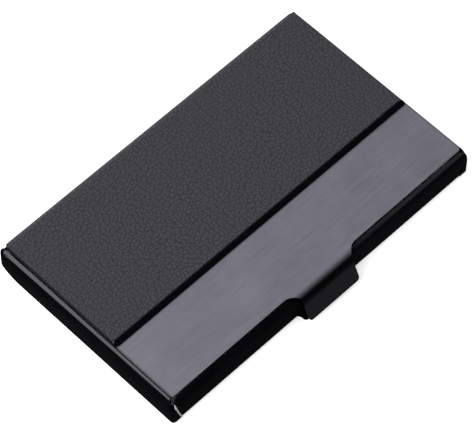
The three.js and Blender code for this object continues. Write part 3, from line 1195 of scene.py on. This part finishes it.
@dataclass
class WaveWasher:
    """Ring of spring strip whose height follows a cosine round the ring."""

    inner: float = 0.7
    outer: float = 1.28
    height: float = 0.03
    strip: float = 0.06
    waves: int = 3

    def _tree(self) -> bpy.types.NodeTree:
        """The node tree, with its sizes as named inputs.

        Returns:
            The tree.
        """
        tree = bpy.data.node_groups.new("wave_washer_rule", "GeometryNodeTree")
        face = tree.interface
        for label in ("Radius", "Width", "Strip", "Height", "Waves"):
            face.new_socket(label, in_out="INPUT", socket_type="NodeSocketFloat")
        face.new_socket("Finish", in_out="INPUT", socket_type="NodeSocketMaterial")
        face.new_socket("Geometry", in_out="OUTPUT", socket_type="NodeSocketGeometry")
        add, link = tree.nodes.new, tree.links.new
        given, result = add("NodeGroupInput"), add("NodeGroupOutput")
        circle = add("GeometryNodeCurvePrimitiveCircle")
        circle.inputs["Resolution"].default_value = 72
        link(given.outputs["Radius"], circle.inputs["Radius"])
        position, split = add("GeometryNodeInputPosition"), add("ShaderNodeSeparateXYZ")
        link(position.outputs[0], split.inputs[0])

        def maths(kind: str, a: Any, b: Any = 0.0) -> bpy.types.NodeSocket:
            """One Math node on sockets or numbers.

            Args:
                kind: the node's operation.
                a, b: sockets or numbers.

            Returns:
                The node's output.
            """
            made = add("ShaderNodeMath")
            made.operation = kind
            for socket, value in zip(made.inputs, (a, b)):
                if isinstance(value, bpy.types.NodeSocket):
                    link(value, socket)
                else:
                    socket.default_value = value
            return made.outputs[0]

        angle = maths("ARCTAN2", split.outputs["Y"], split.outputs["X"])
        swing = maths("COSINE", maths("MULTIPLY", angle, given.outputs["Waves"]))
        lift, move = add("ShaderNodeCombineXYZ"), add("GeometryNodeSetPosition")
        link(maths("MULTIPLY", swing, given.outputs["Height"]), lift.inputs["Z"])
        link(circle.outputs[0], move.inputs["Geometry"])
        link(lift.outputs[0], move.inputs["Offset"])
        strip = add("GeometryNodeCurvePrimitiveQuadrilateral")
        link(given.outputs["Width"], strip.inputs["Width"])
        link(given.outputs["Strip"], strip.inputs["Height"])
        sweep, real = add("GeometryNodeCurveToMesh"), add("GeometryNodeRealizeInstances")
        paint = add("GeometryNodeSetMaterial")
        link(move.outputs[0], sweep.inputs["Curve"])
        link(strip.outputs[0], sweep.inputs["Profile Curve"])
        link(sweep.outputs[0], real.inputs[0])
        link(real.outputs[0], paint.inputs["Geometry"])
        link(given.outputs["Finish"], paint.inputs["Material"])
        link(paint.outputs[0], result.inputs[0])
        return tree

    def build(self, name: str) -> bpy.types.Object:
        """A washer at the origin, its axis along Z.

        Args:
            name: the piece's name.

        Returns:
            The object as a plain mesh.
        """
        tree = self._tree()
        obj = bpy.data.objects.new(name, bpy.data.meshes.new(name))
        bpy.context.scene.collection.objects.link(obj)
        rule = obj.modifiers.new("rule", "NODES")
        rule.node_group = tree
        sizes = {"Radius": (self.inner + self.outer) / 2 * MM, "Strip": self.strip * MM,
                 "Width": (self.outer - self.inner) * MM, "Height": self.height * MM,
                 "Waves": float(self.waves)}
        for item in tree.interface.items_tree:
            if item.in_out == "INPUT" and item.name in sizes:
                rule[item.identifier] = sizes[item.name]
        return baked(obj)


@dataclass
class CardPlate:
    """Plate under the cards, on two arms from the hinge pins."""

    half: float = 45.55
    inner: float = 45.15
    under: float = 1.75
    sheet: float = 0.4
    front: float = -24.9
    notch: float = 8.5
    corner: float = 1.5
    rounding: float = 0.07
    rear_gap: float = 2.9
    eye: float = 1.15
    arm_rounding: float = 0.06

    def build(self) -> None:
        """Builds and dresses the card plate."""
        rear = HINGE[0] - self.rear_gap
        c = self.corner
        outline = mirrored([
            *arc(0, self.front, self.notch, self.notch, 90, 2, 32),
            *arc(self.half - c, self.front + c, c, c, -90, 0, 10),
            (self.half, rear),
        ])
        mesh = bmesh.new()
        PressedSheet(outline, self.sheet, self.rounding, flat_at(self.under + self.sheet)
                     ).add_to(mesh)
        y, z = HINGE
        arm = [*arc(y, z, self.eye, self.eye, -140, 140, 32), (y - 3.4, z + 0.6),
               (y - 5.2, self.under + 0.05), (rear, self.under + 0.05), (y - 2.3, z - 0.9)]
        for sign in (1.0, -1.0):
            PressedSheet(arm, self.half - self.inner, self.arm_rounding,
                         upright_at(sign * self.half, sign)).add_to(mesh)
        piece = Piece(finished("card_plate_satin", mesh), Body.LIFTER, Slot.PLATE,
                      ("card_lifter",))
        piece.hand_over(BareMetalFinish("satin_aluminium", (0.62, 0.62, 0.63),
                                        (0.5, 0.5, 0.515), (30.0, 2500.0, 2500.0), 0.38
                                        ).material())


# ---------------------------------------------------------------- studio


@dataclass
class Studio:
    """Pale floor, soft light and the camera."""

    azimuth: float = -44.83
    elevation: float = 58.15
    roll: float = 0.17
    distance: float = 0.7015
    lens: float = 237.05
    aim_right: float = -0.01894
    aim_up: float = 0.01305
    floor_colour: Colour = (0.93, 0.93, 0.935)
    floor_half: float = 6.0
    floor_drop: float = 0.00002
    floor_glow: float = 0.45
    surround: float = 0.8
    panel_size: Point = (0.6, 0.5)
    panel_power: float = 5.2
    panel_place: Triple = (-0.42, 0.16, 0.52)

    def camera(self) -> None:
        """Places the camera."""
        a, e, k = (math.radians(v) for v in (self.azimuth, self.elevation, self.roll))
        back = Vector((math.sin(a) * math.cos(e), -math.cos(a) * math.cos(e), math.sin(e)))
        level = Vector((math.cos(a), math.sin(a), 0.0))
        rise = back.cross(level)
        right = level * math.cos(k) + rise * math.sin(k)
        up = rise * math.cos(k) - level * math.sin(k)
        aim = Vector((0.0, LID_FRONT, LID_TOP)) * MM + right * self.aim_right + up * self.aim_up
        data = bpy.data.cameras.new("camera")
        data.lens, data.sensor_width = self.lens, 36.0
        data.clip_start, data.clip_end = 0.01, 20.0
        cam = bpy.data.objects.new("camera", data)
        turn = Matrix((right, up, back)).transposed().to_4x4()
        cam.matrix_world = Matrix.Translation(aim + back * self.distance) @ turn
        bpy.context.scene.collection.objects.link(cam)
        bpy.context.scene.camera = cam

    def floor(self) -> None:
        """Lays the pale floor, which glows faintly as a light table does."""
        size = self.floor_half
        mesh = bmesh.new()
        corners = [mesh.verts.new((x * size, y * size, -self.floor_drop))
                   for x, y in ((-1, -1), (1, -1), (1, 1), (-1, 1))]
        mesh.faces.new(corners)
        data = bpy.data.meshes.new("floor")
        mesh.to_mesh(data)
        mesh.free()
        obj = bpy.data.objects.new("floor", data)
        bpy.context.scene.collection.objects.link(obj)
        g = Graph("pale_floor")
        speck = g.noise(g.place(), 300.0, 2.0, 0.5)
        colour = g.mix(speck, tuple(0.985 * c for c in self.floor_colour), self.floor_colour)
        data.materials.append(g.dress(
            Base_Color=colour, Roughness=0.9, Specular_IOR_Level=0.1,
            Emission_Color=(1.0, 1.0, 1.0), Emission_Strength=self.floor_glow))

    def light(self) -> None:
        """Sets the soft surround and one large overhead panel."""
        world = bpy.data.worlds.new("surround")
        world.use_nodes = True
        surround = world.node_tree.nodes["Background"]
        surround.inputs["Color"].default_value = (1.0, 1.0, 1.0, 1.0)
        surround.inputs["Strength"].default_value = self.surround
        bpy.context.scene.world = world
        panel = bpy.data.lights.new("panel", "AREA")
        panel.shape, panel.energy = "RECTANGLE", self.panel_power
        panel.size, panel.size_y = self.panel_size
        obj = bpy.data.objects.new("panel", panel)
        place = Vector(self.panel_place)
        obj.matrix_world = (Matrix.Translation(place)
                            @ place.to_track_quat("Z", "Y").to_matrix().to_4x4())
        bpy.context.scene.collection.objects.link(obj)

    def build(self) -> None:
        """Sets up the whole studio."""
        bpy.context.scene.view_settings.view_transform = "Standard"
        self.camera()
        self.floor()
        self.light()


def main() -> None:
    """Builds the case and its surroundings."""
    logging.basicConfig(level=logging.INFO, format="%(name)s %(message)s")
    Studio().build()
    Tray().build()
    CardPlate().build()
    Lid().build()


if __name__ == "__main__":
    main()
